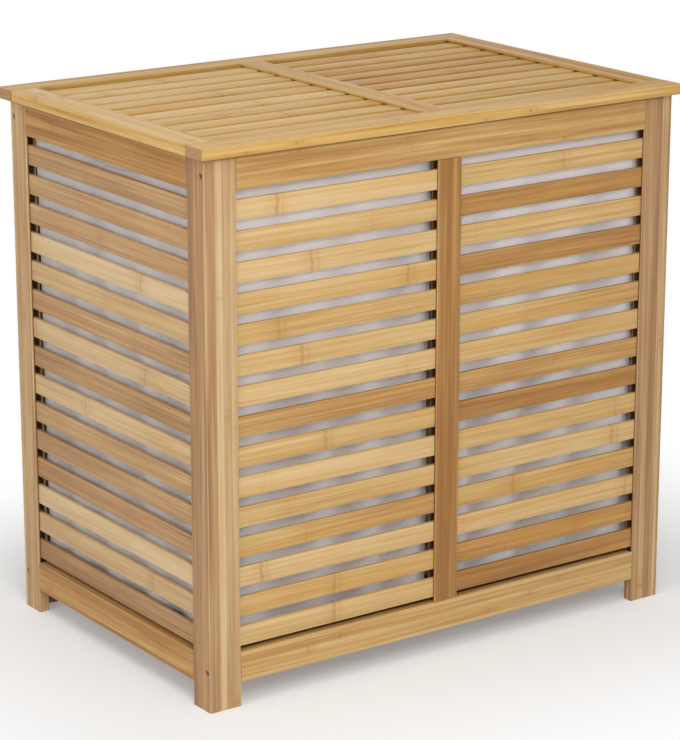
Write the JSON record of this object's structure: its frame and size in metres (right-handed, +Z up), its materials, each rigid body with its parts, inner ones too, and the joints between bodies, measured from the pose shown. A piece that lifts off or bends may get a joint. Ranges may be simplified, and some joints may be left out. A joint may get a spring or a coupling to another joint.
{
  "type": "laundry hamper",
  "caption": "Bamboo laundry hamper with slatted panels, a hinged slatted lid and side-by-side fabric liner bags hung on steel rods.",
  "frame": {"origin": "on the floor, under the middle of the lid", "axes": "+X to the right seen from the front, +Y to the back where the hinges are, +Z up"},
  "size_m": [0.624, 0.416, 0.6],
  "materials": {
    "bamboo": "clear satin lacquer on laminated bamboo",
    "base_panel": "plain bamboo plywood",
    "steel": "zinc-plated steel",
    "liner_fabric": "plain woven cloth"
  },
  "bodies": {
    "box": {"front_left_stile_with_slats": "bamboo", "front_right_stile_with_slats": "bamboo", "front_centre_stile": "bamboo", "front_top_rail": "bamboo", "front_bottom_rail": "bamboo", "back_left_stile_with_slats": "bamboo", "back_right_stile_with_slats": "bamboo", "back_centre_stile": "bamboo", "back_top_rail": "bamboo", "back_bottom_rail": "bamboo", "left_front_stile_with_slats": "bamboo", "left_back_stile": "bamboo", "left_top_rail": "bamboo", "left_bottom_rail": "bamboo", "right_front_stile_with_slats": "bamboo", "right_back_stile": "bamboo", "right_top_rail": "bamboo", "right_bottom_rail": "bamboo", "left_hanger_rail": "bamboo", "right_hanger_rail": "bamboo", "centre_bar": "bamboo", "base_board": "base_panel", "left_liner": "liner_fabric", "right_liner": "liner_fabric", "left_front_rod": "steel", "left_back_rod": "steel", "right_front_rod": "steel", "right_back_rod": "steel", "left_hinge_box_leaf": "steel", "left_hinge_pin": "steel", "right_hinge_box_leaf": "steel", "right_hinge_pin": "steel", "left_hinge_box_screw_left": "steel", "left_hinge_box_screw_right": "steel", "right_hinge_box_screw_left": "steel", "right_hinge_box_screw_right": "steel", "corner_screw_left_front_top": "steel", "corner_screw_left_front_bottom": "steel", "corner_screw_left_back_top": "steel", "corner_screw_left_back_bottom": "steel", "corner_screw_right_front_top": "steel", "corner_screw_right_front_bottom": "steel", "corner_screw_right_back_top": "steel", "corner_screw_right_back_bottom": "steel", "left_hanger_screw_front": "steel", "left_hanger_screw_back": "steel", "right_hanger_screw_front": "steel", "right_hanger_screw_back": "steel"},
    "lid": {"lid_front_rail": "bamboo", "lid_back_rail": "bamboo", "lid_left_stile_with_slats": "bamboo", "lid_right_stile_with_slats": "bamboo", "lid_middle_stile": "bamboo", "left_hinge_lid_leaf": "steel", "right_hinge_lid_leaf": "steel", "left_hinge_lid_screw_left": "steel", "left_hinge_lid_screw_right": "steel", "right_hinge_lid_screw_left": "steel", "right_hinge_lid_screw_right": "steel"}
  },
  "joints": [
    {"name": "lid_hinge", "type": "hinge", "parent": "box", "child": "lid", "pos_m": [0, 0.1943, 0.5862], "axis": [-1, 0, 0], "range_deg": [0, 103]}
  ]
}
